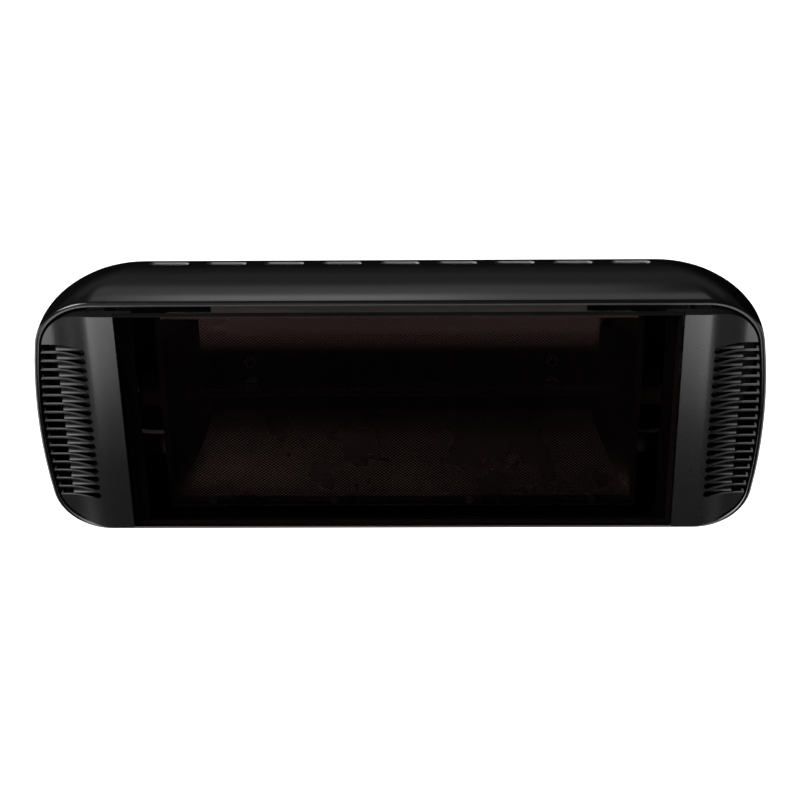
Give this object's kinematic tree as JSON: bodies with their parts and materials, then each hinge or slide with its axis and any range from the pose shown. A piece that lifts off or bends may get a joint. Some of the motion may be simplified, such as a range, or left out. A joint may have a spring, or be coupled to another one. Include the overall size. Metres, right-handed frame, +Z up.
{
  "type": "infrared heater",
  "caption": "Wall-mounted infrared heater: bowed black housing, dark glass front over a guarded reflector and lamp, louvred side panels, tilting on a wall bracket.",
  "frame": {"origin": "middle of the wall plate's back face, on the wall", "axes": "+X to the right as seen from in front, along the heater's length; +Y into the wall; +Z up"},
  "size_m": [0.5234, 0.1479, 0.2138],
  "materials": {
    "housing_paint": "satin black powder coat on sheet steel",
    "panel_paint": "satin black paint on pressed steel",
    "comb_paint": "black paint on sheet steel",
    "dark_glass": "dark tinted glass ceramic, polished",
    "gasket_rubber": "black high-temperature rubber",
    "frame_steel": "black paint on sheet steel",
    "shield_steel": "aluminised sheet steel, dull",
    "reflector_aluminium": "bright rolled aluminium",
    "guard_steel": "perforated stainless steel",
    "fastener_steel": "zinc-plated steel",
    "quartz": "clear fused quartz",
    "filament_wire": "drawn wire",
    "lamp_ceramic": "unglazed white ceramic",
    "lead_sleeve": "silicone sleeve",
    "earth_brass": "plain brass",
    "gland_plastic": "black moulded nylon",
    "seal_rubber": "black rubber",
    "bracket_paint": "satin black powder coat on sheet steel",
    "washer_fibre": "pressed fibre"
  },
  "bodies": {
    "wall_mount": {"wall_bracket": "bracket_paint"},
    "heater": {"bracket_rivets": "fastener_steel", "chassis_nuts": "fastener_steel", "chassis_screws": "fastener_steel", "earth_screw": "earth_brass", "filament_supports": "filament_wire", "friction_washers": "washer_fibre", "front_glass": "dark_glass", "gland_body": "gland_plastic", "gland_cap": "gland_plastic", "gland_nut": "gland_plastic", "gland_seal": "seal_rubber", "glass_frame": "frame_steel", "glass_gasket": "gasket_rubber", "guard_mesh": "guard_steel", "guard_rivets": "fastener_steel", "heat_shield": "shield_steel", "lamp_bracket_left": "fastener_steel", "lamp_bracket_right": "fastener_steel", "lamp_cap_left": "lamp_ceramic", "lamp_cap_right": "lamp_ceramic", "lamp_filament": "filament_wire", "lamp_lead_left": "lead_sleeve", "lamp_lead_right": "lead_sleeve", "lamp_tube": "quartz", "left_louvre_comb": "comb_paint", "left_side_panel": "panel_paint", "lock_bolts": "fastener_steel", "lock_nuts": "fastener_steel", "lock_washers": "fastener_steel", "panel_posts": "fastener_steel", "panel_screws": "fastener_steel", "pivot_bolts": "fastener_steel", "pivot_nuts": "fastener_steel", "pivot_washers": "fastener_steel", "rear_housing": "housing_paint", "reflector": "reflector_aluminium", "reflector_end_left": "reflector_aluminium", "reflector_end_right": "reflector_aluminium", "reflector_posts": "fastener_steel", "right_louvre_comb": "comb_paint", "right_side_panel": "panel_paint", "shield_grommet": "seal_rubber", "shield_spacers": "fastener_steel", "terminal_block": "lamp_ceramic", "terminal_screws": "fastener_steel", "tilt_yoke": "bracket_paint", "yoke_nuts": "fastener_steel", "yoke_screws": "fastener_steel"}
  },
  "joints": [
    {"name": "tilt", "type": "hinge", "parent": "wall_mount", "child": "heater", "pos_m": [0, -0.05, 0], "axis": [1, 0, 0], "range_deg": [-40, 40]}
  ]
}
